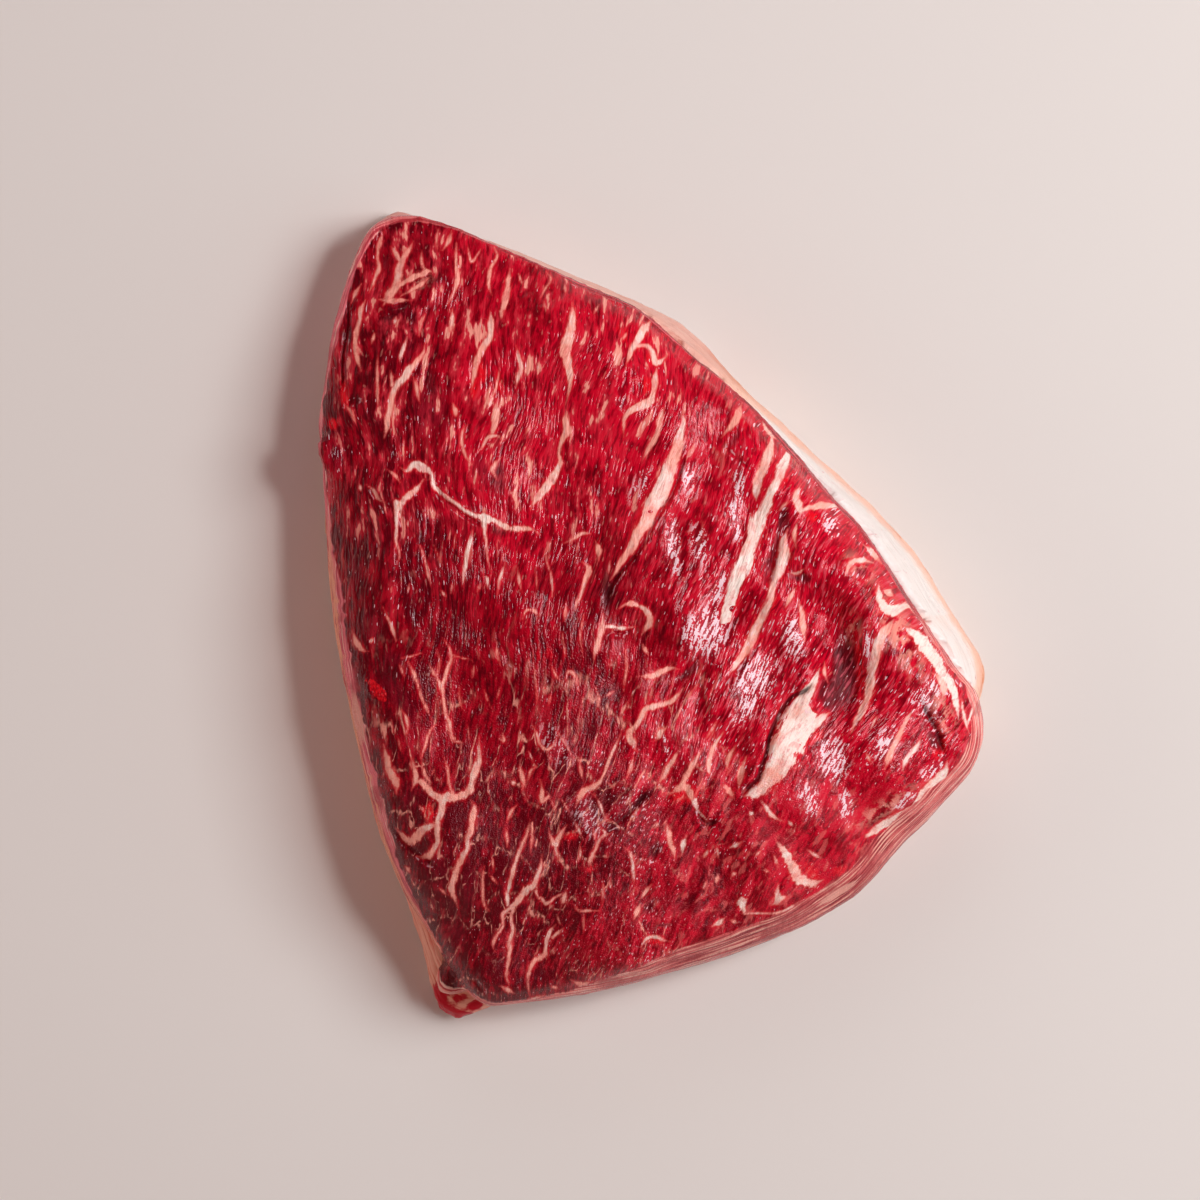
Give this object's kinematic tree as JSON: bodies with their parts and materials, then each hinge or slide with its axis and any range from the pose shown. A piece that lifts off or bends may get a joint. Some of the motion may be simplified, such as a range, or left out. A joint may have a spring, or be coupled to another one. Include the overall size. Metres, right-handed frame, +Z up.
{
  "type": "raw whole picanha",
  "caption": "Raw whole rump cap of beef, a rounded triangle lying fat side down, with its dark red, seamed cut face up.",
  "frame": {"origin": "middle of the flat underside of the fat cap, at table level, under the middle of the part's box", "axes": "+Z up out of the cut face, +Y along the length towards the pointed tip, +X towards the side where the fat shows as a wide band"},
  "size_m": [0.2066, 0.2506, 0.0503],
  "materials": {
    "fat": null,
    "lean": null
  },
  "bodies": {
    "root": {"fat_cap": "fat", "lean_muscle": "lean"}
  },
  "joints": []
}
